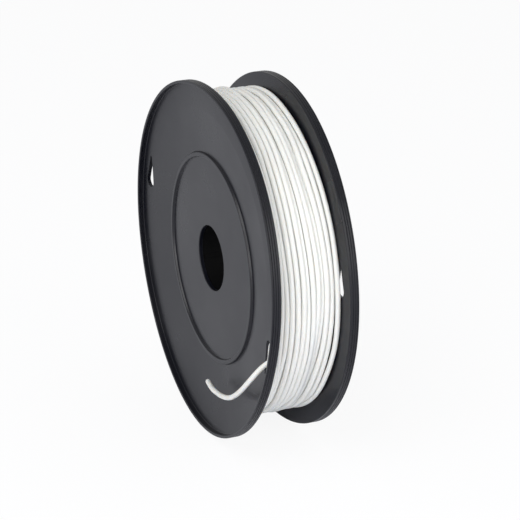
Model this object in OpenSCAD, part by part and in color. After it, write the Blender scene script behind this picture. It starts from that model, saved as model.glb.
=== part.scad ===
// Filament spool: two dished flanges snapped onto a hub tube and a drum, with the filament wound on.
// The axle runs along Y and the middle of the spool is the origin. The front flange faces -Y.
// Lengths are in millimetres. Angles round the axle go from +X towards +Z.

/* [Flanges] */
// Diameter of the flanges
flange_d = 200; // [190:1:240]
// Width of the spool over its two rim lips
spool_w = 49.3; // [44:0.1:90]
// Radial width of the lip round the rim
lip_w = 2.2; // [1.6:0.1:4]
// Height of the lip above the face beside it
lip_h = 3.15; // [1.5:0.05:6]
// Thickness of the plate at the rim
rim_t = 2.05; // [1.2:0.05:3]
// Thickness of the plate inside the drum
plate_t = 2; // [1.4:0.1:3]
// Depth by which the face sinks from the rim to the drum
dish = 3.85; // [0.5:0.05:6]
// Radius of the rounded lip edges
edge_r = 0.6; // [0.2:0.1:0.7]

/* [Rim groove] */
// Distance of the fine groove round the rim from the front of the lip
groove_at = 2.2; // [1.2:0.1:2.6]
// Width of the rim groove
groove_w = 0.6; // [0.3:0.1:0.8]
// Depth of the rim groove
groove_depth = 0.4; // [0.2:0.1:0.8]

/* [Filament slots] */
// Number of slots in each flange
slot_count = 2; // [1:1:6]
// Length of a slot, end to end
slot_l = 20.2; // [16:0.1:30]
// Width of a slot at its round end
slot_w = 7.7; // [6:0.1:9]
// Width of a slot at its pointed end
slot_tip_w = 1.6; // [1:0.1:4]
// Distance from the lip to the round end of a slot
slot_inset = 4.4; // [3:0.1:8]
// Distance by which the pointed end lies nearer the rim than the middle of the round end
slot_lean = 1.75; // [0:0.05:3]
// Angle of the round end of the first slot of the front flange
slot_angle = -10.9; // [-30:0.1:30]
// Turn of the rear flange against the front one
rear_turn = 4.9; // [-30:0.1:30]

/* [Bore and hub] */
// Diameter of the bore through each flange
bore_d = 37; // [30:0.1:56]
// Thickness of the flange at the mouth of the bore
mouth_t = 2.4; // [1.8:0.1:3]
// Chamfer at the mouth of the bore
mouth_chamfer = 0.4; // [0.1:0.1:0.8]
// Step from the bore out to the inner wall of the hub tube
tube_step = 0.7; // [0.3:0.1:2]
// Wall of the hub tube
tube_wall = 1.8; // [1.4:0.1:3]
// Number of ribs along the inside of the hub tube
key_count = 3; // [2:1:6]
// Width of a rib in the hub tube
key_w = 1.8; // [1:0.1:3]
// Angle of the first rib in the hub tube
key_angle = 199; // [0:1:360]
// Distance by which the ribs stop short of each end of the hub tube
key_short = 1; // [0.5:0.1:6]

/* [Hub collars] */
// Height of the flange collar round the end of the hub tube
collar_h = 7; // [6:0.1:12]
// Wall of the collar
collar_wall = 2.2; // [1.8:0.1:4]
// Distance of the snap bead from the end of the hub tube
snap_at = 3.6; // [3:0.1:4.4]
// Width of the groove that takes the snap bead
snap_w = 2; // [1.2:0.1:2.6]
// Height of the snap bead
snap_h = 0.6; // [0.3:0.1:0.9]

/* [Stiffening ribs] */
// Number of radial ribs inside the drum on each flange
rib_count = 6; // [3:1:12]
// Thickness of a radial rib
rib_t = 1.6; // [1:0.1:3]
// Height of a radial rib above the plate
rib_h = 5; // [2:0.1:6]

/* [Drum] */
// Outside diameter of the drum
drum_d = 118.8; // [100:0.1:130]
// Wall of the drum
drum_wall = 1.8; // [1.4:0.1:2.2]
// Depth of the groove that seats the end of the drum
seat_depth = 1.6; // [0.8:0.1:2]
// Width of the raised ring outside the drum seat
bead_w = 3.3; // [2.8:0.1:5]
// Height of the raised ring
bead_h = 1.6; // [0.8:0.1:2.4]
// Slope of each side of the raised ring
bead_flank = 0.6; // [0.2:0.1:0.8]

/* [Filament] */
// Diameter of the filament
strand_d = 2.85; // [1.75:0.05:3]
// Distance from the rim in to the surface of the wound filament
fill_inset = 9; // [7:0.1:25]
// Least gap between two turns of the outer layer
turn_gap = 0.42; // [0.41:0.01:1]

/* [Fits] */
// Radial clearance of the drum and the hub tube in their seats
seat_clear = 0.2; // [0.1:0.05:0.4]
// Clearance round the wound filament
wound_clear = 0.3; // [0.2:0.05:0.6]

/* [Hidden] */
$fn = 96;

black = [0.20, 0.20, 0.22];
dark = [0.13, 0.13, 0.14];
white = [0.93, 0.95, 0.94];

// Flange, in its own frame: radius across, distance from the middle of the spool along the axle
flange_r = flange_d / 2;
half_w = spool_w / 2;
lip_in_r = flange_r - lip_w;
rim_face = half_w - lip_h;
rim_back = rim_face - rim_t;
hub_face = rim_face - dish;
hub_back = hub_face - plate_t;
mouth_back = hub_face - mouth_t;
edge_steps = 4;

drum_r = drum_d / 2;
drum_in_r = drum_r - drum_wall;
bead_r = drum_r - drum_wall / 2;
seat_out_r = drum_r + seat_clear;
seat_in_r = drum_in_r - seat_clear;
seat_end = hub_back + seat_depth;

bore_r = bore_d / 2;
tube_in_r = bore_r + tube_step;
tube_r = tube_in_r + tube_wall;
collar_in_r = tube_r + seat_clear;
collar_r = collar_in_r + collar_wall;
collar_end = hub_back - collar_h;
snap_z = mouth_back - snap_at;
snap_r = collar_in_r + snap_h;

// Middle of the round end and of the pointed end of a slot
slot_r = lip_in_r - slot_inset - slot_w / 2;
slot_tip_r = slot_r + slot_lean;
slot_arc = (slot_l - (slot_w + slot_tip_w) / 2) / slot_r * 180 / PI;
slot_tip_angle = slot_angle - slot_arc;

// Distance of the inner side of a flange from the middle of the spool, at radius r
function back_at(r) =
    hub_back + (rim_back - hub_back) * (r - seat_out_r) / (lip_in_r - seat_out_r);

// Points of an arc about c, from angle a to angle b
function arc(c, r, a, b, n) =
    [for (i = [0:n]) c + r * [cos(a + (b - a) * i / n), sin(a + (b - a) * i / n)]];

// Wound filament
wound_r = flange_r - fill_inset;
strand_r = strand_d / 2;
strand_sides = 6;
strand_flat = strand_d * cos(180 / strand_sides);
turn_r = wound_r - strand_r;
turn_rings = 24;
ring_step = 360 / turn_rings;
core_r = turn_r * cos(ring_step / 2) - strand_r - wound_clear;

// The first turn climbs out of the core at the rear flange, in a small bend
climb_r = 3;
climb_steps = 4;
climb_base = turn_r - climb_r - strand_d;
rear_y = back_at(climb_base) - wound_clear - strand_r;
front_y = -(back_at(turn_r - strand_r) - wound_clear - strand_flat / 2);

// The last turn leaves through the first slot of the front flange
leave_angle = slot_angle + 0.4;
part_turn = 10 / turn_rings;
whole_turns = floor((rear_y - front_y) / (strand_flat + turn_gap) - part_turn);
turns = whole_turns + part_turn;
steps = round(turns * turn_rings);
climb_angle = leave_angle + turns * 360;

// Free end of the filament: where it meets the last turn, in the slot, and its route from there
tail_sides = 8;
slot_y = -(rim_face + rim_back) / 2 + dish * (lip_in_r - slot_r) / (lip_in_r - seat_out_r);
tail_joint = at(slot_r + 0.25, slot_angle - 4.8, slot_y);
tail_route = [
    [85.5, -21.4, -25.7], [84.7, -22.9, -27.3], [83.8, -24.2, -29.2], [82.2, -25.9, -32.4],
    [79.6, -27.2, -36.1], [75.9, -28.1, -40.4], [71, -28.5, -45.4], [64.7, -28.5, -50.9],
    [59.8, -28.5, -54.6], [54.5, -28.6, -58.1], [48.7, -28.6, -60.8], [42.7, -28.6, -62.9],
    [34, -28.3, -64.9], [26, -27.9, -65.9], [21.1, -27.4, -66], [16.3, -26.7, -66]];

// Point at radius r and angle a round the axle
function at(r, a, y) = [r * cos(a), y, r * sin(a)];

function unit(v) = v / norm(v);

// Direction of the path p at its point i
function heading(p, i) = unit(p[min(i + 1, len(p) - 1)] - p[max(i - 1, 0)]);

// Ring of corners round point p, square to the direction t, with a flat side towards the flanges
function ring(p, t, r, sides) =
    let (u = unit([0, 1, 0] - t[1] * t), v = cross(t, u))
    [for (k = [0:sides - 1])
        let (a = (k + 0.5) * 360 / sides) p + r * (cos(a) * u + sin(a) * v)];

function rings(p, r, sides) = [for (i = [0:len(p) - 1]) ring(p[i], heading(p, i), r, sides)];

// Cubic curve from a to d with the handles b and c
function curve(a, b, c, d, t) =
    pow(1 - t, 3) * a + 3 * t * pow(1 - t, 2) * b + 3 * t * t * (1 - t) * c + pow(t, 3) * d;

function climb_path() =
    let (out = at(1, climb_angle, 0), along = at(1, climb_angle - 90, 0))
    concat(
        [climb_base * out + [0, rear_y, 0]],
        [for (i = [0:climb_steps])
            let (a = 90 * i / climb_steps)
            (turn_r - climb_r + climb_r * sin(a)) * out + climb_r * (1 - cos(a)) * along
                + [0, rear_y, 0]]);

function turns_path() =
    [for (i = [1:steps])
        at(turn_r, climb_angle - i * ring_step, rear_y + (front_y - rear_y) * i / steps)];

function leave_path() =
    let (
        from = at(turn_r, leave_angle, front_y),
        out = unit(tail_route[0] - tail_joint),
        straight = tail_joint - 0.4 * strand_d * out,
        h = norm(straight - from) / 3)
    concat(
        [for (t = [1 / 3, 2 / 3, 1])
            curve(from, from + h * at(1, leave_angle - 90, 0), straight - h * out, straight, t)],
        [tail_joint]);

wound_path = concat(climb_path(), turns_path(), leave_path());
wound_rings = rings(wound_path, strand_r, strand_sides);

// Least gap between turns, measured between the ring corners of each turn and the next
least_gap = min([
    for (i = [0:len(wound_rings) - turn_rings - 1])
        for (j = [i + turn_rings - 6:min(i + turn_rings + 8, len(wound_rings) - 1)])
            for (a = wound_rings[i]) for (b = wound_rings[j]) norm(a - b)]);
echo(str("Turns of the outer layer: ", turns, ", least gap between them: ", least_gap, " mm"));

// Tube through a list of rings, in triangles, closed at both ends
module tube_through(r) {
    sides = len(r[0]);
    last = (len(r) - 1) * sides;
    polyhedron(
        points = [for (one = r) each one],
        faces = concat(
            [for (k = [1:sides - 2]) [0, k + 1, k]],
            [for (k = [1:sides - 2]) [last, last + k, last + k + 1]],
            [for (i = [0:len(r) - 2]) for (k = [0:sides - 1])
                [i * sides + k, i * sides + (k + 1) % sides, (i + 1) * sides + k]],
            [for (i = [0:len(r) - 2]) for (k = [0:sides - 1])
                [i * sides + (k + 1) % sides, (i + 1) * sides + (k + 1) % sides,
                    (i + 1) * sides + k]]));
}

// Section of a flange, outer face first, then the rim, the inner side, the drum seat and the collar
module flange_section() {
    groove_z = half_w - groove_at;
    polygon(concat(
        [[bore_r, hub_face - mouth_chamfer], [bore_r + mouth_chamfer, hub_face],
         [bead_r - bead_w / 2, hub_face], [bead_r - bead_w / 2 + bead_flank, hub_face + bead_h],
         [bead_r + bead_w / 2 - bead_flank, hub_face + bead_h], [bead_r + bead_w / 2, hub_face],
         [lip_in_r, rim_face]],
        arc([lip_in_r + edge_r, half_w - edge_r], edge_r, 180, 90, edge_steps),
        arc([flange_r - edge_r, half_w - edge_r], edge_r, 90, 0, edge_steps),
        [[flange_r, groove_z + groove_w / 2], [flange_r - groove_depth, groove_z],
         [flange_r, groove_z - groove_w / 2]],
        arc([flange_r - edge_r, rim_back + edge_r], edge_r, 0, -90, edge_steps),
        [[lip_in_r, rim_back], [seat_out_r, hub_back],
         [seat_out_r, seat_end], [seat_in_r, seat_end], [seat_in_r, hub_back],
         [collar_r, hub_back], [collar_r, collar_end], [collar_in_r, collar_end],
         [collar_in_r, snap_z - snap_w / 2], [snap_r, snap_z - snap_w / 2 + snap_h],
         [snap_r, snap_z + snap_w / 2 - snap_h], [collar_in_r, snap_z + snap_w / 2],
         [collar_in_r, mouth_back], [bore_r, mouth_back]]));
}

// Slot shaped like a drop along the rim, with a round end and a pointed end
module slot_cutter() {
    wide = slot_r * [cos(slot_angle), sin(slot_angle)];
    tip = slot_tip_r * [cos(slot_tip_angle), sin(slot_tip_angle)];
    way = tip - wide;
    lie = atan2(way[1], way[0]);
    side = acos((slot_w - slot_tip_w) / 2 / norm(way));
    translate([0, 0, hub_back])
        linear_extrude(height = half_w - hub_back)
            polygon(concat(
                arc(wide, slot_w / 2, lie + side, lie + 360 - side, 16),
                arc(tip, slot_tip_w / 2, lie - side, lie + side, 6)));
}

// One flange moulding with its outer face towards +Z
module flange() {
    difference() {
        rotate_extrude() flange_section();
        for (i = [0:slot_count - 1]) rotate([0, 0, i * 360 / slot_count]) slot_cutter();
    }
    for (i = [0:rib_count - 1])
        rotate([0, 0, (i + 0.5) * 360 / rib_count])
            translate([collar_r - collar_wall / 2, -rib_t / 2, hub_back - rib_h])
                cube([seat_in_r - collar_r + collar_wall / 2, rib_t, rib_h + plate_t / 2]);
}

module front_flange() {
    color(black) rotate([90, 0, 0]) flange();
}

module rear_flange() {
    color(black) rotate([-90, 0, 0]) rotate([0, 0, rear_turn]) flange();
}

// Winding drum, a plain tube seated in a groove of each flange
module drum() {
    color(dark) rotate([90, 0, 0])
        difference() {
            cylinder(r = drum_r, h = 2 * seat_end, center = true);
            cylinder(r = drum_in_r, h = 2 * half_w, center = true);
        }
}

// Half the section of the hub tube, with the snap bead near its end
module tube_section() {
    polygon([
        [tube_in_r, 0], [tube_r, 0],
        [tube_r, snap_z - snap_w / 2 + seat_clear],
        [tube_r + snap_h, snap_z - snap_w / 2 + snap_h + seat_clear],
        [tube_r + snap_h, snap_z + snap_w / 2 - snap_h - seat_clear],
        [tube_r, snap_z + snap_w / 2 - seat_clear],
        [tube_r, mouth_back], [tube_in_r, mouth_back]]);
}

// Hub tube between the two bores, with a snap bead at each end and keys along its inside
module hub_tube() {
    key_reach = bore_r + seat_clear;
    key_end = mouth_back - key_short;
    color(dark) rotate([90, 0, 0]) {
        rotate_extrude() {
            tube_section();
            mirror([0, 1]) tube_section();
        }
        for (i = [0:key_count - 1])
            rotate([0, 0, key_angle + i * 360 / key_count])
                translate([key_reach, -key_w / 2, -key_end])
                    cube([tube_in_r + tube_wall / 2 - key_reach, key_w, 2 * key_end]);
    }
}

// Inner layers of filament, filling the space between the flanges up to the outer layer
module filament_core() {
    in_r = drum_r + wound_clear;
    in_y = hub_back - wound_clear;
    out_y = back_at(core_r) - wound_clear;
    color(white)
        difference() {
            rotate([90, 0, 0])
                rotate_extrude()
                    polygon([[in_r, -in_y], [core_r, -out_y], [core_r, out_y], [in_r, in_y]]);
            // Pocket where the outer layer climbs out
            translate([0, rear_y, 0]) rotate([0, -climb_angle, 0]) rotate([0, 90, 0])
                translate([0, 0, climb_base - wound_clear])
                    cylinder(r = strand_r + 2 * wound_clear, h = core_r, $fn = 32);
        }
}

// Outer layer, one unbroken strand from its climb at the rear to the slot at the front
module filament_winding() {
    color(white) tube_through(wound_rings);
}

// Free end of the filament, out of the slot and round the front of the flange
module filament_tail() {
    color(white) tube_through(rings(concat([tail_joint], tail_route), strand_r, tail_sides));
}

front_flange();
rear_flange();
drum();
hub_tube();
filament_core();
filament_winding();
filament_tail();
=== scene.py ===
"""Filament spool: moulded black flanges with white filament wound between them."""

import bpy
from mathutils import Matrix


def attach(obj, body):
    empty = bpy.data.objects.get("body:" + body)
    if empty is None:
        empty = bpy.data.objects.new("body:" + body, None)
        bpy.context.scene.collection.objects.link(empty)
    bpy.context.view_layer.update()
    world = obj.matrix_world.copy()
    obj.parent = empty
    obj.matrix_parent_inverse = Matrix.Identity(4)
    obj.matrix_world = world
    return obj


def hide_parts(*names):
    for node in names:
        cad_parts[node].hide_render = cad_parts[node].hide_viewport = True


bl_info = {
    "name": "Filament Spool",
    "version": (1, 0, 0),
    "blender": (4, 5, 0),
    "location": "3D View > Sidebar > Spool",
    "description": "Dresses a two-flange filament spool: flanges, hub, wound strand and its free end",
    "category": "Object",
}

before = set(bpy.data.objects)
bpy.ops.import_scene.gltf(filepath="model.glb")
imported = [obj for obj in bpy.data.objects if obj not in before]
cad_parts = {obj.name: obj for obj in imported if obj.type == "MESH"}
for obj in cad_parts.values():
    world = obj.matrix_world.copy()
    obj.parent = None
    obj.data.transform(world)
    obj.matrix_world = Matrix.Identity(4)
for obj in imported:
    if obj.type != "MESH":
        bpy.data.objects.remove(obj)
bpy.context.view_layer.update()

import math
from functools import lru_cache

import bmesh
import bpy
from bpy.props import FloatProperty, FloatVectorProperty, IntProperty, PointerProperty
from mathutils import Matrix, Vector

MM = 0.001
BODY = "root"

# The camera: how far it stands, where it looks from, its roll, its lens and its shift
CAMERA_DISTANCE = 1.1065
CAMERA_AZIMUTH = 67.31
CAMERA_ELEVATION = 21.93
CAMERA_ROLL = 0.135
CAMERA_LENS = 136.73
SENSOR = 36.0
SHIFT_RIGHT = 0.0379
SHIFT_UP = -0.0123

# The flange moulding, in millimetres, with its outer face at the top. Its lip, its raised ring and
# the lines round its rim are a little finer than the solids' are.
FLANGE_R = 100.0
HALF_WIDTH = 24.65
LIP_IN_R = 98.4
RIM_FACE = 21.5
RIM_BACK = 19.45
HUB_FACE = 17.65
HUB_BACK = 15.65
MOUTH_BACK = 15.25
BORE_R = 18.5
SEAT_OUT_R = 59.6
SEAT_IN_R = 57.4
SEAT_END = 17.25
RING_R = 58.5
RING_WIDTH = 3.3
RING_HEIGHT = 1.3
RING_FLANK = 0.6
COLLAR_IN_R = 21.2
COLLAR_R = 23.4
COLLAR_END = 8.65
RIM_GROOVES = (23.75, 22.45, 21.15)
RIM_GROOVE_WIDTH = 0.6
RIM_GROOVE_DEPTH = 0.4
SLOT_R = 89.55
SLOT_WIDTH = 7.7
SLOT_TIP_R = 91.3
SLOT_TIP_WIDTH = 1.6
SLOT_ANGLE = -10.9
SLOT_TIP_ANGLE = -20.85
REAR_TURN = 4.9
STIFFENER_COUNT = 6
STIFFENER_WIDTH = 1.6
STIFFENER_HEIGHT = 5.0
STIFFENER_BITE = 0.5
STIFFENER_END_GAP = 0.3

# The radii of the moulding's corners, in millimetres
MOUTH_CORNER = 0.45
MOUTH_BACK_CORNER = 0.2
RING_CORNER = 0.45
RING_INNER_FOOT = 0.35
RING_OUTER_FOOT = 0.2
LIP_FOOT = 0.4
GROOVE_EDGE = 0.1
GROOVE_BOTTOM = 0.08
BACK_CORNER = 0.3

# The finer faces that the slots are cut from: rows and how far they reach past a slot's wide end, then
# steps round the flange and how many degrees they reach before its tip and past its wide end
SLOT_ROWS = 12
SLOT_MARGIN = 0.9
SLOT_STEPS = 42
STEPS_BEFORE_TIP = 2.0
STEPS_PAST_SLOT = 4.0
WELD = 0.001

# How the thin flanges are warped outside the drum: their tilt towards +X and +Z, and the heights of
# two saddles, straight and diagonal. Each is millimetres along the axle for 1 mm of radius.
FRONT_WARP = (0.0040, 0.0156, 0.0012, 0.0140)
REAR_WARP = (0.0188, 0.0068, -0.0084, -0.0093)
WARP_FADE = 1.5

# The wound filament, in millimetres and degrees. FRONT_STEP and REAR_STEP are how much lower the inner
# layers are beside the flanges, SEAM_ANGLE is where one turn's places end and the next one's start.
STRAND = 2.85
TURN_R = 89.87
NEST_DEPTH = 2.4
WOUND_IN_R = 59.7
WOUND_END = 17.2
FRONT_STEP = 4.5
REAR_STEP = 0.9
SEAM_ANGLE = 215.0
CLIMB_ANGLE = 150.0
LEAVE_ANGLE = -4.0
POINTS_PER_TURN = 120
STRAND_RESOLUTION = 12
TAIL_RESOLUTION = 5
TAIL_STEPS = 12

# The inner layers: how far round each strand's back shows, in how many steps, and how far the backs,
# the sides and the outer edges stay clear of what lies over them
BACK_SPREAD = 120
BACK_STEPS = 6
BACK_GAP = 0.05
SIDE_GAP = 0.3
EDGE_GAP = 0.4
LAYER_STEPS = 180

# The wound filament bulges towards one side of the reel
BULGE = 1.3
BULGE_ANGLE = 110.0

# Painted shade where turns touch: how far from its neighbour a turn starts to take the painted shade,
# and how dark the painted shade line between a turn and the next is, from the rear flange to the front
# one
CONTACT_SHADE_REACH = 0.4
CONTACT_SHADE_DEPTHS = (0.9, 0.4, 0.1, 0.3, 0.2, 0.9, 0.1, 0.6, 0.95, 0.95, 0.6, 0.6)

# Where each turn of the outer layer lies along the axle, from the rear flange to the front one, at
# these angles. A turn of LOW_TURNS lies in the groove between its neighbours wherever they are near.
STATION_ANGLES = (112.0, 92.0, 77.0, 61.0, 49.0, 28.0, 9.0, -13.0, -30.0, -47.0, -68.0)
TURNS = (
    (17.7, 17.5, 16.8, 16.8, 17.0, 17.6, 18.1, 18.0, 17.2, 17.5, 17.3),
    (15.0, 14.5, 13.9, 13.9, 13.7, 14.2, 14.8, 14.5, 14.1, 14.7, 14.9),
    (12.1, 11.9, 11.3, 11.2, 10.4, 11.3, 12.0, 11.5, 10.6, 11.4, 12.2),
    (9.4, 9.2, 8.5, 8.2, 7.6, 8.8, 9.7, 8.5, 7.9, 8.9, 9.7),
    (7.0, 6.9, 6.2, 5.9, 5.5, 6.2, 7.1, 6.0, 5.8, 6.6, 7.4),
    (4.8, 4.5, 3.7, 3.3, 3.1, 3.3, 4.0, 4.7, 4.8, 5.4, 4.9),
    (2.8, 2.3, 1.6, 1.3, 0.9, 0.7, 1.4, 1.9, 1.7, 2.7, 2.5),
    (0.9, 0.0, -0.7, -0.6, -1.5, -1.8, -1.2, -1.0, -1.3, -0.2, -0.2),
    (-2.4, -3.0, -3.8, -3.8, -4.5, -5.1, -4.6, -4.0, -3.9, -2.9, -2.9),
    (-5.7, -6.2, -6.9, -6.9, -7.8, -8.3, -7.9, -7.6, -7.2, -5.9, -5.9),
    (-8.6, -9.2, -9.9, -10.2, -10.6, -11.1, -11.0, -10.9, -10.3, -8.9, -8.8),
    (-12.1, -12.4, -12.9, -13.3, -13.3, -13.6, -13.8, -13.8, -12.7, -11.4, -11.6),
    (-15.7, -15.7, -16.3, -16.6, -16.6, -17.0, -16.7, -16.4, -15.1, -13.6, -14.2),
)
LOW_TURNS = (1, 3, 6, 10)

# Turns that ride up over their neighbours: turn, angle, reach in degrees and height
RISES = (
    (7, 112.0, 26.0, 1.5),
    (8, 118.0, 24.0, 1.2),
    (6, -72.0, 20.0, 1.6),
    (5, -74.0, 18.0, 1.2),
    (0, -24.0, 52.0, 1.3),
)

# How the last turn goes into the slot: radius, angle and place along the axle
LEAVE_ROUTE = (
    (90.8, -5.8, -17.3), (91.4, -7.6, -18.7), (91.7, -9.3, -20.1), (91.9, -11.8, -20.3),
    (91.8, -13.8, -20.1),
)

# The turn of the layer below that comes up in front of the outer layer, below the slot
UNDER_TURN = (
    (87.3, -4.0, -15.6), (88.3, -14.0, -15.5), (89.6, -24.0, -15.3), (90.1, -34.0, -14.6),
    (90.0, -46.0, -13.7), (89.9, -58.0, -13.9), (89.7, -70.0, -14.3), (89.6, -84.0, -14.6),
    (89.2, -100.0, -15.0), (88.2, -116.0, -15.5), (87.3, -130.0, -15.8),
)

# The free end: where it meets the last turn in the slot, and its route from there, in millimetres
TAIL_JOINT = (87.8, -20.2, -25.6)
TAIL_ROUTE = (
    (86.8, -21.6, -27.0), (85.8, -23.1, -28.7), (84.9, -24.3, -30.4), (83.3, -25.9, -33.3),
    (80.7, -27.2, -37.0), (77.0, -28.1, -41.4), (72.1, -28.5, -46.4), (65.8, -28.5, -51.8),
    (60.9, -28.5, -55.5), (55.6, -28.6, -59.0), (49.8, -28.6, -61.7), (43.8, -28.6, -63.7),
    (35.0, -28.3, -65.6), (27.0, -27.9, -66.6), (22.1, -27.4, -66.6), (17.3, -26.7, -66.6),
)

# Finishes of the plastic: roughness and gloss of the flanges and the hub, and what all of it shares
FLANGE_ROUGHNESS = 0.3
FLANGE_GLOSS = 0.45
HUB_ROUGHNESS = 0.6
HUB_GLOSS = 0.12
PLASTIC_SHADES = (0.9, 1.1)
PLASTIC_CLOUDS = (0.3, 0.7)
ROUGHNESS_SPREAD = (-0.05, 0.06)
PLASTIC_GRAIN = 0.12
GRAIN_DEPTH = 0.0002
DUST_COLOUR = (0.32, 0.31, 0.29, 1)
DUST_STRENGTH = 0.12
SPECK_EDGE = (0.03, 0.07)

# Finish of the filament
FILAMENT_SHADES = (0.975, 1.01)
FILAMENT_CLOUDS = (0.35, 0.65)
FILAMENT_ROUGHNESS = (0.34, 0.44)
FILAMENT_GRAIN = 0.05
CONTACT_SHADE_FALLOFF = 1.1
SCATTER = 0.6
SCATTER_RADIUS = (1.0, 0.9, 0.8)
SCATTER_SCALE = 0.0016

# The stage: lamps as name, place in metres, size in metres and watts, then floor and surroundings
LAMPS = (
    ("key_lamp", (0.55, -0.75, 0.95), 0.8, 5.7),
    ("side_lamp", (1.15, 0.4, 0.45), 0.9, 3.8),
    ("front_lamp", (0.95, -0.7, 0.25), 0.5, 3.1),
)
FLOOR_SIZE = 3.0
FLOOR_GAP = 0.0002
FLOOR_COLOUR = (0.92, 0.93, 0.98, 1)
FLOOR_WHITE = 0.88
FLOOR_GLOW = 1.02
AMBIENT = 0.65


# ---------------------------------------------------------------- settings

class SpoolColours(bpy.types.PropertyGroup):
    black: FloatVectorProperty(
        name="Flange plastic", description="Moulded plastic of the flanges",
        subtype="COLOR", size=4, min=0, max=1, default=(0.0036, 0.004, 0.008, 1))
    hub: FloatVectorProperty(
        name="Hub plastic", description="Plastic of the hub tube and the drum",
        subtype="COLOR", size=4, min=0, max=1, default=(0.002, 0.002, 0.0022, 1))
    filament: FloatVectorProperty(
        name="Filament", description="Colour of the wound filament",
        subtype="COLOR", size=4, min=0, max=1, default=(0.885, 0.885, 0.855, 1))
    # Painted shade: a dark colour mixed into the filament where two turns touch, standing in for the
    # shade between them
    groove: FloatVectorProperty(
        name="Grooves", description="Colour of the filament where two turns touch",
        subtype="COLOR", size=4, min=0, max=1, default=(0.06, 0.045, 0.03, 1))


class SpoolDetail(bpy.types.PropertyGroup):
    steps: IntProperty(
        name="Flange steps", description="Steps round a flange, besides the finer ones at its slots",
        default=360, min=180, max=720)
    edge_radius: FloatProperty(
        name="Edge radius", description="Rounding of the moulded edges",
        subtype="DISTANCE", unit="LENGTH", default=0.4 * MM, min=0.2 * MM, max=0.7 * MM)
    strand: FloatProperty(
        name="Filament diameter", description="Diameter of the filament",
        subtype="DISTANCE", unit="LENGTH", default=STRAND * MM, min=2.5 * MM, max=3 * MM)
    speck_density: FloatProperty(
        name="Dust", description="How many dust specks lie on the plastic",
        subtype="FACTOR", default=0.15, min=0, max=1)


# ---------------------------------------------------------------- node groups

def new_group(name, inputs, outputs):
    group = bpy.data.node_groups.new(name, "ShaderNodeTree")
    for label, kind, value in inputs:
        socket = group.interface.new_socket(label, in_out="INPUT", socket_type=kind)
        if value is not None:
            socket.default_value = value
    for label, kind in outputs:
        group.interface.new_socket(label, in_out="OUTPUT", socket_type=kind)
    start = group.nodes.new("NodeGroupInput")
    end = group.nodes.new("NodeGroupOutput")
    return group, start, end


def add_math(tree, operation, a, b=None, clamp=False):
    node = tree.nodes.new("ShaderNodeMath")
    node.operation = operation
    node.use_clamp = clamp
    for i, value in enumerate((a, b)):
        if value is None:
            continue
        if isinstance(value, (int, float)):
            node.inputs[i].default_value = value
        else:
            tree.links.new(value, node.inputs[i])
    return node.outputs[0]


def add_range(tree, value, low, high, to_low, to_high):
    node = tree.nodes.new("ShaderNodeMapRange")
    tree.links.new(value, node.inputs["Value"])
    for name, number in (("From Min", low), ("From Max", high), ("To Min", to_low),
                         ("To Max", to_high)):
        node.inputs[name].default_value = number
    return node.outputs["Result"]


def add_noise(tree, vector, scale, detail=3.0, roughness=0.5):
    node = tree.nodes.new("ShaderNodeTexNoise")
    tree.links.new(vector, node.inputs["Vector"])
    if isinstance(scale, (int, float)):
        node.inputs["Scale"].default_value = scale
    else:
        tree.links.new(scale, node.inputs["Scale"])
    node.inputs["Detail"].default_value = detail
    node.inputs["Roughness"].default_value = roughness
    return node.outputs["Fac"]


def mix_shaders(tree, factor, a, b, out):
    """Sends a mix of two shaders to a surface output."""
    node = tree.nodes.new("ShaderNodeMixShader")
    for value, socket in zip((factor, a, b), node.inputs):
        tree.links.new(value, socket)
    tree.links.new(node.outputs[0], out.inputs["Surface"])


def dust_group():
    """Small pale specks scattered over a surface."""
    name = "dust specks"
    if name in bpy.data.node_groups:
        return bpy.data.node_groups[name]
    group, start, end = new_group(
        name,
        [("Vector", "NodeSocketVector", None), ("Spacing", "NodeSocketFloat", 150.0),
         ("Amount", "NodeSocketFloat", 0.5)],
        [("Mask", "NodeSocketFloat")])
    cells = group.nodes.new("ShaderNodeTexVoronoi")
    group.links.new(start.outputs["Vector"], cells.inputs["Vector"])
    group.links.new(start.outputs["Spacing"], cells.inputs["Scale"])
    cells.inputs["Randomness"].default_value = 1.0
    near = add_range(group, cells.outputs["Distance"], *SPECK_EDGE, 1.0, 0.0)
    split = group.nodes.new("ShaderNodeSeparateColor")
    group.links.new(cells.outputs["Color"], split.inputs["Color"])
    chosen = add_math(group, "LESS_THAN", split.outputs["Red"], start.outputs["Amount"])
    mask = add_math(group, "MULTIPLY", near, chosen, clamp=True)
    group.links.new(mask, end.inputs["Mask"])
    return group


def mottle_group():
    """Broad cloudy variation and the fine grain of a moulded surface."""
    name = "moulded surface"
    if name in bpy.data.node_groups:
        return bpy.data.node_groups[name]
    group, start, end = new_group(
        name,
        [("Vector", "NodeSocketVector", None), ("Cloud Scale", "NodeSocketFloat", 18.0),
         ("Grain Scale", "NodeSocketFloat", 1400.0)],
        [("Cloud", "NodeSocketFloat"), ("Grain", "NodeSocketFloat")])
    cloud = add_noise(group, start.outputs["Vector"], start.outputs["Cloud Scale"], 3.0, 0.55)
    grain = add_noise(group, start.outputs["Vector"], start.outputs["Grain Scale"], 2.0, 0.6)
    group.links.new(cloud, end.inputs["Cloud"])
    group.links.new(grain, end.inputs["Grain"])
    return group


def place_group(tree, group, vector, **values):
    node = tree.nodes.new("ShaderNodeGroup")
    node.node_tree = group
    tree.links.new(vector, node.inputs["Vector"])
    for label, value in values.items():
        node.inputs[label.replace("_", " ")].default_value = value
    return node


# ---------------------------------------------------------------- materials

def new_material(name):
    """A material with its Principled shader and its Object coordinates."""
    material = bpy.data.materials.new(name)
    material.use_nodes = True
    tree = material.node_tree
    tree.nodes.clear()
    out = tree.nodes.new("ShaderNodeOutputMaterial")
    shader = tree.nodes.new("ShaderNodeBsdfPrincipled")
    tree.links.new(shader.outputs["BSDF"], out.inputs["Surface"])
    place = tree.nodes.new("ShaderNodeTexCoord").outputs["Object"]
    return material, tree, shader, place


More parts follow.
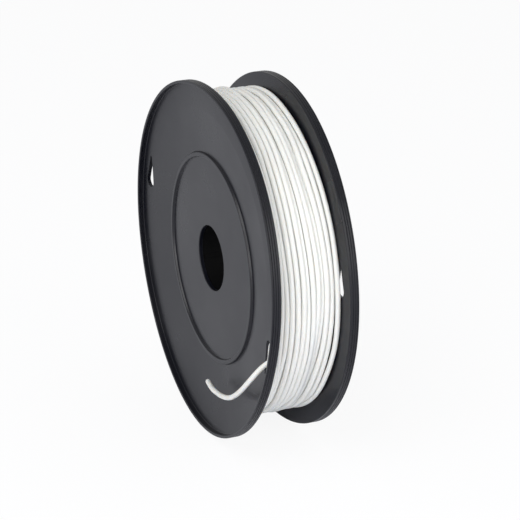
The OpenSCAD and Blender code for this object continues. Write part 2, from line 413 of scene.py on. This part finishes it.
def mix_colours(tree, factor, a, b):
    node = tree.nodes.new("ShaderNodeMix")
    node.data_type = "RGBA"
    tree.links.new(factor, node.inputs["Factor"])
    for socket, value in ((node.inputs[6], a), (node.inputs[7], b)):
        if isinstance(value, bpy.types.NodeSocket):
            tree.links.new(value, socket)
        else:
            socket.default_value = value
    return node.outputs[2]


def shade(colour, factor):
    return (*[c * factor for c in colour[:3]], 1.0)


def add_clouds(tree, cloud, limits, colour, shades):
    """A colour that wanders between two shades of it."""
    return mix_colours(tree, add_range(tree, cloud, *limits, 0.0, 1.0),
                       *(shade(colour, factor) for factor in shades))


def add_grain(tree, shader, height, strength):
    """The fine bump of a moulded or drawn surface."""
    bump = tree.nodes.new("ShaderNodeBump")
    bump.inputs["Strength"].default_value = strength
    bump.inputs["Distance"].default_value = GRAIN_DEPTH
    tree.links.new(height, bump.inputs["Height"])
    tree.links.new(bump.outputs["Normal"], shader.inputs["Normal"])


def plastic_material(name, colour, roughness, gloss, dust):
    """Satin moulded plastic with cloudy sheen, fine grain and a little dust."""
    material, tree, shader, place = new_material(name)
    surface = place_group(tree, mottle_group(), place, Cloud_Scale=16.0, Grain_Scale=1500.0)
    specks = place_group(tree, dust_group(), place, Spacing=160.0, Amount=dust)
    cloud = surface.outputs["Cloud"]
    clouded = add_clouds(tree, cloud, PLASTIC_CLOUDS, colour, PLASTIC_SHADES)
    dusted = mix_colours(
        tree, add_math(tree, "MULTIPLY", specks.outputs["Mask"], DUST_STRENGTH), clouded,
        DUST_COLOUR)
    tree.links.new(dusted, shader.inputs["Base Color"])
    rough = add_range(tree, cloud, *PLASTIC_CLOUDS,
                      *(roughness + change for change in ROUGHNESS_SPREAD))
    tree.links.new(rough, shader.inputs["Roughness"])
    shader.inputs["Specular IOR Level"].default_value = gloss
    add_grain(tree, shader, surface.outputs["Grain"], PLASTIC_GRAIN)
    return material


def filament_material(name, colour, groove):
    """Smooth satin filament, a little cloudy along its length, with painted shade where turns touch.
    """
    material, tree, shader, place = new_material(name)
    surface = place_group(tree, mottle_group(), place, Cloud_Scale=60.0, Grain_Scale=900.0)
    cloud = surface.outputs["Cloud"]
    clouded = add_clouds(tree, cloud, FILAMENT_CLOUDS, colour, FILAMENT_SHADES)
    # Painted shade: the stored contact shade darkens the base colour where turns touch, in place of
    # the shade between them
    contact_shade = tree.nodes.new("ShaderNodeAttribute")
    contact_shade.attribute_name = "contact_shade"
    contact_shade_amount = add_math(tree, "POWER", contact_shade.outputs["Fac"], CONTACT_SHADE_FALLOFF, clamp=True)
    grooved = mix_colours(tree, contact_shade_amount, clouded, groove)
    tree.links.new(grooved, shader.inputs["Base Color"])
    rough = add_range(tree, cloud, *PLASTIC_CLOUDS, *FILAMENT_ROUGHNESS)
    tree.links.new(rough, shader.inputs["Roughness"])
    shader.inputs["Subsurface Weight"].default_value = SCATTER
    shader.inputs["Subsurface Radius"].default_value = SCATTER_RADIUS
    shader.inputs["Subsurface Scale"].default_value = SCATTER_SCALE
    add_grain(tree, shader, surface.outputs["Grain"], FILAMENT_GRAIN)
    return material


def get_material(name, make, *values):
    return bpy.data.materials.get(name) or make(name, *values)


def flange_plastic():
    colours, detail = bpy.context.scene.spool_colours, bpy.context.scene.spool_detail
    return get_material("flange plastic", plastic_material, colours.black,
                        FLANGE_ROUGHNESS, FLANGE_GLOSS, detail.speck_density)


def hub_plastic():
    colours, detail = bpy.context.scene.spool_colours, bpy.context.scene.spool_detail
    return get_material("hub plastic surface", plastic_material, colours.hub,
                        HUB_ROUGHNESS, HUB_GLOSS, detail.speck_density)


def filament_plastic():
    colours = bpy.context.scene.spool_colours
    return get_material("wound filament", filament_material, colours.filament, colours.groove)


# ---------------------------------------------------------------- mesh helpers

def around(r, angle, y):
    """Point at radius r and an angle in degrees round the axle, in millimetres."""
    a = math.radians(angle)
    return Vector((r * math.cos(a), y, r * math.sin(a)))


def finish_piece(obj, material, slot_name, *nodes):
    """Gives a finished piece its material and its body, and hides the solids that it stands for."""
    obj.data.materials.clear()
    obj.data.materials.append(material)
    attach(obj, BODY)
    if nodes:
        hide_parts(*nodes)


def mesh_object(name, bm, sharp_angle=35.0):
    """A smooth object from a bmesh, with its sharp edges marked."""
    bmesh.ops.recalc_face_normals(bm, faces=bm.faces)
    limit = math.radians(sharp_angle)
    for face in bm.faces:
        face.smooth = True
    for edge in bm.edges:
        if len(edge.link_faces) == 2:
            edge.smooth = edge.calc_face_angle(0) < limit
    mesh = bpy.data.meshes.new(name)
    bm.to_mesh(mesh)
    bm.free()
    obj = bpy.data.objects.new(name, mesh)
    bpy.context.scene.collection.objects.link(obj)
    return obj


def corner(before, at, after, radius, steps=3):
    """Points that round the corner at a point of an outline."""
    at, before, after = Vector(at), Vector(before), Vector(after)
    a, b = (before - at).normalized(), (after - at).normalized()
    half = math.acos(max(-1.0, min(1.0, a.dot(b)))) / 2
    reach = min(radius / math.tan(half), 0.45 * (before - at).length, 0.45 * (after - at).length)
    centre = at + (a + b).normalized() * (reach / math.cos(half))
    start, end = at + a * reach, at + b * reach
    turn = (start - centre).angle_signed(end - centre)
    return [centre + Matrix.Rotation(-turn * i / steps, 2) @ (start - centre)
            for i in range(steps + 1)]


def rounded(outline):
    """Closed outline of (radius, height, corner radius) with its corners rounded."""
    points = []
    for i, (r, z, radius) in enumerate(outline):
        if radius <= 0:
            points.append(Vector((r, z)))
            continue
        before, after = outline[i - 1], outline[(i + 1) % len(outline)]
        points += corner(before[:2], (r, z), after[:2], radius)
    return points


# ---------------------------------------------------------------- flanges

def face_at(r):
    """Height of the dished outer face at radius r."""
    start = RING_R + RING_WIDTH / 2
    return HUB_FACE + (RIM_FACE - HUB_FACE) * (r - start) / (LIP_IN_R - start)


def back_at(r):
    """Height of the inner side of the flange at radius r."""
    return HUB_BACK + (RIM_BACK - HUB_BACK) * (r - SEAT_OUT_R) / (LIP_IN_R - SEAT_OUT_R)


def slot_radii():
    """Radii of the rows of faces that a slot is cut from."""
    reach = SLOT_WIDTH / 2 + SLOT_MARGIN
    return [SLOT_R - reach + 2 * reach * i / SLOT_ROWS for i in range(SLOT_ROWS + 1)]


def polar(r, angle):
    """Point on a flange's own flat, at radius r and an angle in degrees."""
    a = math.radians(angle)
    return Vector((r * math.cos(a), r * math.sin(a)))


def to_slot_edge(point, turn):
    """How far a point is from the outline of a slot, inside counting as less than 0, and which
    way the outline lies. The outline is a drop: a wide round end and a narrow one."""
    wide, tip = polar(SLOT_R, SLOT_ANGLE + turn), polar(SLOT_TIP_R, SLOT_TIP_ANGLE + turn)
    way = tip - wide
    along = way.normalized()
    side = Vector((-along.y, along.x))
    if (point - wide).dot(side) < 0:
        side.negate()
    lean = (SLOT_WIDTH - SLOT_TIP_WIDTH) / 2 / way.length
    normal = along * lean + side * math.sqrt(1 - lean * lean)
    tangent = along * math.sqrt(1 - lean * lean) - side * lean
    if (point - wide).dot(tangent) < 0:
        return (point - wide).length - SLOT_WIDTH / 2, (point - wide).normalized()
    if (point - tip).dot(tangent) > 0:
        return (point - tip).length - SLOT_TIP_WIDTH / 2, (point - tip).normalized()
    return (point - wide).dot(normal) - SLOT_WIDTH / 2, normal


def flange_outline(edge):
    """Outline of the flange, from the bore over the outer face, the rim and the inner side."""
    ring_in, ring_out = RING_R - RING_WIDTH / 2, RING_R + RING_WIDTH / 2
    half = RIM_GROOVE_WIDTH / 2
    grooves = [point for y in RIM_GROOVES for point in (
        (FLANGE_R, y + half, GROOVE_EDGE), (FLANGE_R - RIM_GROOVE_DEPTH, y, GROOVE_BOTTOM),
        (FLANGE_R, y - half, GROOVE_EDGE))]
    back = BACK_CORNER
    return rounded(
        [(BORE_R, MOUTH_BACK, MOUTH_BACK_CORNER), (BORE_R, HUB_FACE, MOUTH_CORNER),
         (ring_in, HUB_FACE, RING_INNER_FOOT),
         (ring_in + RING_FLANK, HUB_FACE + RING_HEIGHT, RING_CORNER),
         (ring_out - RING_FLANK, HUB_FACE + RING_HEIGHT, RING_CORNER),
         (ring_out, HUB_FACE, RING_OUTER_FOOT)]
        + [(r, face_at(r), 0) for r in slot_radii()]
        + [(LIP_IN_R, RIM_FACE, LIP_FOOT), (LIP_IN_R, HALF_WIDTH, edge),
           (FLANGE_R, HALF_WIDTH, edge),
           *grooves,
           (FLANGE_R, RIM_BACK, edge), (LIP_IN_R, RIM_BACK, 0)]
        + [(r, back_at(r), 0) for r in reversed(slot_radii())]
        + [(SEAT_OUT_R, HUB_BACK, back), (SEAT_OUT_R, SEAT_END, 0), (SEAT_IN_R, SEAT_END, 0),
           (SEAT_IN_R, HUB_BACK, back), (COLLAR_R, HUB_BACK, back), (COLLAR_R, COLLAR_END, back),
           (COLLAR_IN_R, COLLAR_END, back), (COLLAR_IN_R, MOUTH_BACK, 0)])


def cut_slots(bm):
    """Opens the two slots: their faces go, the edges left move onto the outline and are bridged."""
    for turn in (0, 180):
        doomed = []
        for face in bm.faces:
            c = face.calc_center_median()
            if c.z > HUB_BACK and to_slot_edge(c.xy, turn)[0] < 0:
                doomed.append(face)
        edges = {e for f in doomed for e in f.edges}
        bmesh.ops.delete(bm, geom=doomed, context="FACES")
        rim = [e for e in edges if e.is_valid and e.is_boundary]
        for vert in {v for e in rim for v in e.verts}:
            distance, outward = to_slot_edge(vert.co.xy, turn)
            vert.co.xy -= outward * distance
            r = vert.co.xy.length
            vert.co.z = face_at(r) if vert.co.z > (face_at(r) + back_at(r)) / 2 else back_at(r)
        bmesh.ops.bridge_loops(bm, edges=rim)


def spin_outline(bm, points, steps):
    """Spins an outline right round, in finer steps where the slots are."""
    verts = [bm.verts.new((p.x, 0, p.y)) for p in points]
    geom = verts + [bm.edges.new((verts[i], verts[(i + 1) % len(verts)]))
                    for i in range(len(verts))]
    start = SLOT_TIP_ANGLE - STEPS_BEFORE_TIP
    fine = SLOT_ANGLE + STEPS_PAST_SLOT - start
    bmesh.ops.transform(bm, matrix=Matrix.Rotation(math.radians(start), 4, "Z"), verts=verts)
    for angle, count in ((fine, SLOT_STEPS), (180 - fine, steps // 2)) * 2:
        geom = bmesh.ops.spin(bm, geom=geom, cent=(0, 0, 0), axis=(0, 0, 1),
                              angle=math.radians(angle), steps=count)["geom_last"]
    bmesh.ops.remove_doubles(bm, verts=bm.verts, dist=WELD)
    bmesh.ops.recalc_face_normals(bm, faces=bm.faces)


def add_stiffeners(bm):
    """Radial ribs on the hidden inner side, from the collar to the drum seat."""
    start, end = COLLAR_R - STIFFENER_BITE, SEAT_IN_R - STIFFENER_END_GAP
    bottom, top = HUB_BACK - STIFFENER_HEIGHT, HUB_BACK + STIFFENER_BITE
    for i in range(STIFFENER_COUNT):
        place = (
            Matrix.Rotation(math.radians((i + 0.5) * 360 / STIFFENER_COUNT), 4, "Z")
            @ Matrix.Translation(((start + end) / 2, 0, (bottom + top) / 2))
            @ Matrix.Diagonal((end - start, STIFFENER_WIDTH, top - bottom, 1)))
        bmesh.ops.create_cube(bm, size=1, matrix=place)


def warp_at(warp, x, z):
    """How far a flange's warp moves a point along the axle."""
    fade = max(0.0, (math.hypot(x, z) - RING_R) / (FLANGE_R - RING_R)) ** WARP_FADE
    tilt_x, tilt_z, saddle, cross = warp
    return fade * (tilt_x * x + tilt_z * z
                   + (saddle * (x * x - z * z) + cross * 2 * x * z) / FLANGE_R)


def make_flange(name, node, turn, facing, warp):
    """One flange moulding, spun from its outline, with its slots opened."""
    detail = bpy.context.scene.spool_detail
    bm = bmesh.new()
    spin_outline(bm, flange_outline(detail.edge_radius / MM), detail.steps)
    cut_slots(bm)
    add_stiffeners(bm)
    place = (
        Matrix.Rotation(math.radians(90 * facing), 4, "X")
        @ Matrix.Rotation(math.radians(turn), 4, "Z"))
    bmesh.ops.transform(bm, matrix=place, verts=bm.verts)
    for vert in bm.verts:
        vert.co.y += warp_at(warp, vert.co.x, vert.co.z)
    bmesh.ops.transform(bm, matrix=Matrix.Scale(MM, 4), verts=bm.verts)
    obj = mesh_object(name, bm)
    flat = obj.modifiers.new("flat faces stay flat", "WEIGHTED_NORMAL")
    flat.keep_sharp = True
    finish_piece(obj, flange_plastic(), "black_plastic", node)


# ---------------------------------------------------------------- filament

def ease(t):
    """Smooth step from 0 to 1."""
    return t * t * (3 - 2 * t)


def even_place(turn):
    """Place along the axle of a turn on the hidden side, where the turns lie evenly."""
    return WOUND_END - 2 * WOUND_END * turn / len(TURNS)


def nearness(angle, centre, reach):
    """1 at a centre angle, falling smoothly to 0 at a reach to either side."""
    off = abs((angle - centre + 180) % 360 - 180)
    return ease(max(0.0, 1 - off / reach))


def turn_place(turn, angle):
    """Place along the axle of a turn, on a smooth curve through its stations."""
    knots = [(SEAM_ANGLE, even_place(turn)), *zip(STATION_ANGLES, TURNS[turn]),
             (SEAM_ANGLE - 360, even_place(turn + 1))]
    for i in range(len(knots) - 1):
        (a, ya), (b, yb) = knots[i], knots[i + 1]
        if angle >= b or i == len(knots) - 2:
            break
    slopes = []
    for j in (i, i + 1):
        if 0 < j < len(knots) - 1:
            (before, yc), (after, yd) = knots[j - 1], knots[j + 1]
            slopes.append((yd - yc) / (after - before) * (b - a))
        else:
            slopes.append(0.0)
    t = (angle - a) / (b - a)
    return (ya * (2 * t ** 3 - 3 * t * t + 1) + yb * (3 * t * t - 2 * t ** 3)
            + slopes[0] * (t ** 3 - 2 * t * t + t) + slopes[1] * (t ** 3 - t * t))


def turn_centre(turn, angle):
    """(radius, place along the axle) of a turn's centre at an angle."""
    y = turn_place(turn, angle)
    r = TURN_R + BULGE * math.cos(math.radians(angle - BULGE_ANGLE))
    if turn in LOW_TURNS:
        near = min(abs(y - turn_place(other, angle)) for other in (turn - 1, turn + 1))
        r -= math.sqrt(max(0.0, STRAND ** 2 - near ** 2))
    for raised, centre, reach, height in RISES:
        if raised == turn:
            r += height * nearness(angle, centre, reach)
    x, _, z = around(r, angle, 0)
    room = back_at(r) - STRAND / 2
    return r, max(warp_at(FRONT_WARP, x, z) - room, min(warp_at(REAR_WARP, x, z) + room, y))


def cubic(a, b, c, d, t):
    """Point of a cubic curve with its two ends and two handles."""
    s = 1 - t
    return a * s ** 3 + b * 3 * s * s * t + c * 3 * s * t * t + d * t ** 3


def smooth_route(knots, steps=4):
    """Points on a smooth curve through all knots but the first and the last."""
    points = []
    for before, a, b, after in zip(knots, knots[1:], knots[2:], knots[3:]):
        points += [cubic(a, a + (b - before) / 6, b - (after - a) / 6, b, i / steps)
                   for i in range(steps)]
    return points + [knots[-2]]


def winding_path():
    """Centreline of the outer layer, from its climb at the rear flange to the slot in front."""
    step = 360 / POINTS_PER_TURN
    points = []
    for turn in range(len(TURNS)):
        angle = SEAM_ANGLE
        end = LEAVE_ANGLE if turn == len(TURNS) - 1 else SEAM_ANGLE - 360
        while angle > end + 1e-6:
            r, y = turn_centre(turn, angle)
            if turn == 0:
                climbed = (angle - CLIMB_ANGLE) / (SEAM_ANGLE - CLIMB_ANGLE)
                r -= NEST_DEPTH * ease(max(0.0, climbed))
            points.append(around(r, angle, y))
            angle -= step
    joint, ahead = Vector(TAIL_JOINT), Vector(TAIL_ROUTE[0])
    leaving = [*points[-2:], *(around(*place) for place in LEAVE_ROUTE), joint, ahead]
    return points + smooth_route(leaving)[1:]


@lru_cache(maxsize=None)
def centres_at(angle):
    """Centres of all turns at a whole angle, as (radius, place along the axle)."""
    return [turn_centre(turn, angle) for turn in range(len(TURNS))]


def paint_contact_shade(mesh):
    """Stores how dark the painted shade line is where a turn of the outer layer lies against the next;
    the shade between the turns is painted into the colour.
    """
    contact_shade = mesh.attributes.new("contact_shade", "FLOAT", "POINT")
    for vert, value in zip(mesh.vertices, contact_shade.data):
        x, y, z = vert.co / MM
        r, angle = math.hypot(x, z), math.degrees(math.atan2(z, x))
        if angle < SEAM_ANGLE - 360:
            angle += 360
        here = centres_at(round(angle))
        gaps = sorted((math.hypot(r - cr, y - cy) - STRAND / 2, turn)
                      for turn, (cr, cy) in enumerate(here))
        (_, own), (gap, other) = gaps[:2]
        depth = CONTACT_SHADE_DEPTHS[min(own, other)] if abs(own - other) == 1 else 1.0
        value.value = depth * max(0.0, 1 - gap / CONTACT_SHADE_REACH)


def tube_curve(name, points, diameter, resolution, smooth=False):
    """A round strand along points given in millimetres."""
    curve = bpy.data.curves.new(name, "CURVE")
    curve.dimensions = "3D"
    curve.bevel_depth = diameter / 2
    curve.bevel_resolution = resolution
    curve.use_fill_caps = True
    curve.twist_mode = "MINIMUM"
    spline = curve.splines.new("BEZIER" if smooth else "POLY")
    if smooth:
        spline.bezier_points.add(len(points) - 1)
        for knot, p in zip(spline.bezier_points, points):
            knot.co = Vector(p) * MM
            knot.handle_left_type = knot.handle_right_type = "AUTO"
        spline.resolution_u = TAIL_STEPS
    else:
        spline.points.add(len(points) - 1)
        for knot, p in zip(spline.points, points):
            knot.co = (*(Vector(p) * MM), 1)
        spline.use_smooth = True
    obj = bpy.data.objects.new(name, curve)
    bpy.context.scene.collection.objects.link(obj)
    return obj


def strand_mesh(points, diameter):
    """A mesh of a round strand along points given in millimetres."""
    route = tube_curve("strand_route", points, diameter, STRAND_RESOLUTION)
    mesh = bpy.data.meshes.new_from_object(route)
    bpy.data.objects.remove(route)
    return mesh


def layers_outline():
    """Outline of the inner layers: a row of strand backs outside, plain sides and a plain bore."""
    count = len(TURNS) - 1
    pitch = 2 * WOUND_END / (count + 1)
    base_r = TURN_R - NEST_DEPTH
    points = []
    for i in range(count):
        middle = WOUND_END - pitch * (i + 1)
        for k in range(BACK_STEPS + 1):
            a = math.radians(90 + BACK_SPREAD / 2 - BACK_SPREAD * k / BACK_STEPS)
            points.append((base_r + STRAND / 2 * math.sin(a) - BACK_GAP,
                           middle - STRAND / 2 * math.cos(a)))
    points.sort(key=lambda p: p[1])
    side = back_at(WOUND_IN_R) - SIDE_GAP
    edge = back_at(base_r) - EDGE_GAP
    return [(WOUND_IN_R, -side), (base_r - FRONT_STEP, -edge)] + points + [
        (base_r - REAR_STEP, edge), (WOUND_IN_R, side)]


def make_inner_layers():
    """The inner layers, spun from their outline, with the turn that comes up in front."""
    bm = bmesh.new()
    verts = [bm.verts.new((r, y, 0)) for r, y in layers_outline()]
    edges = [bm.edges.new((verts[i], verts[(i + 1) % len(verts)])) for i in range(len(verts))]
    bmesh.ops.spin(bm, geom=verts + edges, cent=(0, 0, 0), axis=(0, 1, 0),
                   angle=2 * math.pi, steps=LAYER_STEPS, use_merge=True)
    outside = [v for v in bm.verts if math.hypot(v.co.x, v.co.z) > WOUND_IN_R + 1]
    bmesh.ops.translate(bm, vec=around(BULGE, BULGE_ANGLE, 0), verts=outside)
    bmesh.ops.transform(bm, matrix=Matrix.Scale(MM, 4), verts=bm.verts)
    strand = bpy.context.scene.spool_detail.strand
    under = strand_mesh(smooth_route([around(*place) for place in UNDER_TURN]), strand)
    bm.from_mesh(under)
    bpy.data.meshes.remove(under)
    obj = mesh_object("filament_layers", bm)
    finish_piece(obj, filament_plastic(), "filament", "filament_core")


# ---------------------------------------------------------------- operators

class SPOOL_OT_camera(bpy.types.Operator):
    """Sets up the camera that frames the spool from the right of its front"""

    bl_idname = "spool.camera"
    bl_label = "Camera"

    def execute(self, context):
        data = bpy.data.cameras.new("camera")
        data.sensor_width = SENSOR
        data.lens = CAMERA_LENS
        camera = bpy.data.objects.new("camera", data)
        context.scene.collection.objects.link(camera)
        a, e = math.radians(CAMERA_AZIMUTH), math.radians(CAMERA_ELEVATION)
        back = Vector((math.sin(a) * math.cos(e), -math.cos(a) * math.cos(e), math.sin(e)))
        right = (-back).cross(Vector((0, 0, 1))).normalized()
        up = right.cross(-back)
        camera.location = back * CAMERA_DISTANCE
        turn = math.radians(CAMERA_ROLL)
        rolled = right * math.cos(turn) + up * math.sin(turn)
        camera.rotation_euler = Matrix((rolled, back.cross(rolled), back)).transposed().to_euler()
        data.shift_x, data.shift_y = SHIFT_RIGHT, SHIFT_UP
        context.scene.camera = camera
        return {"FINISHED"}


class SPOOL_OT_free_end(bpy.types.Operator):
    """Lays the free end of the filament out of the slot and round the front of the flange"""

    bl_idname = "spool.free_end"
    bl_label = "Free end"

    def execute(self, context):
        strand = context.scene.spool_detail.strand
        points = [TAIL_JOINT, *TAIL_ROUTE]
        tail = tube_curve("filament_free_end", points, strand, TAIL_RESOLUTION, smooth=True)
        finish_piece(tail, filament_plastic(), "filament", "filament_tail")
        return {"FINISHED"}


class SPOOL_OT_flanges(bpy.types.Operator):
    """Moulds the front and the rear flange"""

    bl_idname = "spool.flanges"
    bl_label = "Flanges"

    def execute(self, context):
        make_flange("flange_front", "front_flange", 0.0, 1, FRONT_WARP)
        make_flange("flange_rear", "rear_flange", REAR_TURN, -1, REAR_WARP)
        return {"FINISHED"}


class SPOOL_OT_hub(bpy.types.Operator):
    """Finishes the hub tube and the drum"""

    bl_idname = "spool.hub"
    bl_label = "Hub and drum"

    def execute(self, context):
        for node in ("hub_tube", "drum"):
            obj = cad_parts[node]
            obj.data.materials.clear()
            obj.data.materials.append(hub_plastic())
        return {"FINISHED"}


class SPOOL_OT_winding(bpy.types.Operator):
    """Winds the filament: its inner layers and the outer one"""

    bl_idname = "spool.winding"
    bl_label = "Wound filament"

    def execute(self, context):
        make_inner_layers()
        strand = context.scene.spool_detail.strand
        mesh = strand_mesh(winding_path(), strand)
        paint_contact_shade(mesh)
        outer = bpy.data.objects.new("filament_outer_layer", mesh)
        context.scene.collection.objects.link(outer)
        finish_piece(outer, filament_plastic(), "filament", "filament_winding")
        return {"FINISHED"}


def add_lamp(name, place, size, power):
    """A square soft lamp that faces the middle of the spool."""
    data = bpy.data.lights.new(name, "AREA")
    data.shape = "SQUARE"
    data.size = size
    data.energy = power
    lamp = bpy.data.objects.new(name, data)
    lamp.location = place
    lamp.rotation_euler = (-Vector(place)).to_track_quat("-Z", "Y").to_euler()
    bpy.context.scene.collection.objects.link(lamp)


class SPOOL_OT_stage(bpy.types.Operator):
    """Sets up the pale floor, the soft lamps and the white surroundings"""

    bl_idname = "spool.stage"
    bl_label = "Stage"

    def execute(self, context):
        scene = context.scene
        scene.view_settings.view_transform = "Standard"
        self.make_floor()
        self.make_world(scene)
        for lamp in LAMPS:
            add_lamp(*lamp)
        return {"FINISHED"}

    def make_floor(self):
        bm = bmesh.new()
        bmesh.ops.create_grid(bm, x_segments=1, y_segments=1, size=FLOOR_SIZE,
                              matrix=Matrix.Translation((0, 0, -FLANGE_R * MM - FLOOR_GAP)))
        floor = mesh_object("floor", bm)
        material = bpy.data.materials.new("floor")
        material.use_nodes = True
        tree = material.node_tree
        tree.nodes.clear()
        out = tree.nodes.new("ShaderNodeOutputMaterial")
        paint = tree.nodes.new("ShaderNodeBsdfDiffuse")
        paint.inputs["Color"].default_value = FLOOR_COLOUR
        glow = tree.nodes.new("ShaderNodeEmission")
        glow.inputs["Strength"].default_value = FLOOR_GLOW
        path = tree.nodes.new("ShaderNodeLightPath")
        seen = add_math(tree, "MULTIPLY", path.outputs["Is Camera Ray"], FLOOR_WHITE)
        mix_shaders(tree, seen, paint.outputs[0], glow.outputs[0], out)
        floor.data.materials.append(material)

    def make_world(self, scene):
        world = bpy.data.worlds.new("white surroundings")
        scene.world = world
        world.use_nodes = True
        tree = world.node_tree
        tree.nodes.clear()
        out = tree.nodes.new("ShaderNodeOutputWorld")
        ambient = tree.nodes.new("ShaderNodeBackground")
        ambient.inputs["Strength"].default_value = AMBIENT
        backdrop = tree.nodes.new("ShaderNodeBackground")
        backdrop.inputs["Color"].default_value = (1, 1, 1, 1)
        path = tree.nodes.new("ShaderNodeLightPath")
        seen = add_math(tree, "ADD", path.outputs["Is Camera Ray"],
                        path.outputs["Is Transmission Ray"], clamp=True)
        mix_shaders(tree, seen, ambient.outputs[0], backdrop.outputs[0], out)


# ---------------------------------------------------------------- panel and registration

STEPS = (SPOOL_OT_camera, SPOOL_OT_free_end, SPOOL_OT_flanges, SPOOL_OT_hub, SPOOL_OT_winding,
         SPOOL_OT_stage)


class SPOOL_PT_panel(bpy.types.Panel):
    """Lists the steps that dress the spool"""

    bl_label = "Spool"
    bl_idname = "SPOOL_PT_panel"
    bl_space_type = "VIEW_3D"
    bl_region_type = "UI"
    bl_category = "Spool"

    def draw(self, context):
        layout = self.layout
        for name in ("black", "hub", "filament", "groove"):
            layout.prop(context.scene.spool_colours, name)
        for name in ("steps", "edge_radius", "strand", "speck_density"):
            layout.prop(context.scene.spool_detail, name)
        for step in STEPS:
            layout.operator(step.bl_idname)


CLASSES = (SpoolColours, SpoolDetail, *STEPS, SPOOL_PT_panel)


def register():
    for cls in CLASSES:
        bpy.utils.register_class(cls)
    bpy.types.Scene.spool_colours = PointerProperty(type=SpoolColours)
    bpy.types.Scene.spool_detail = PointerProperty(type=SpoolDetail)


def unregister():
    del bpy.types.Scene.spool_detail
    del bpy.types.Scene.spool_colours
    for cls in reversed(CLASSES):
        bpy.utils.unregister_class(cls)


def main():
    register()
    bpy.ops.spool.camera()
    bpy.ops.spool.free_end()
    bpy.ops.spool.flanges()
    bpy.ops.spool.hub()
    bpy.ops.spool.winding()
    bpy.ops.spool.stage()


if __name__ == "__main__":
    main()
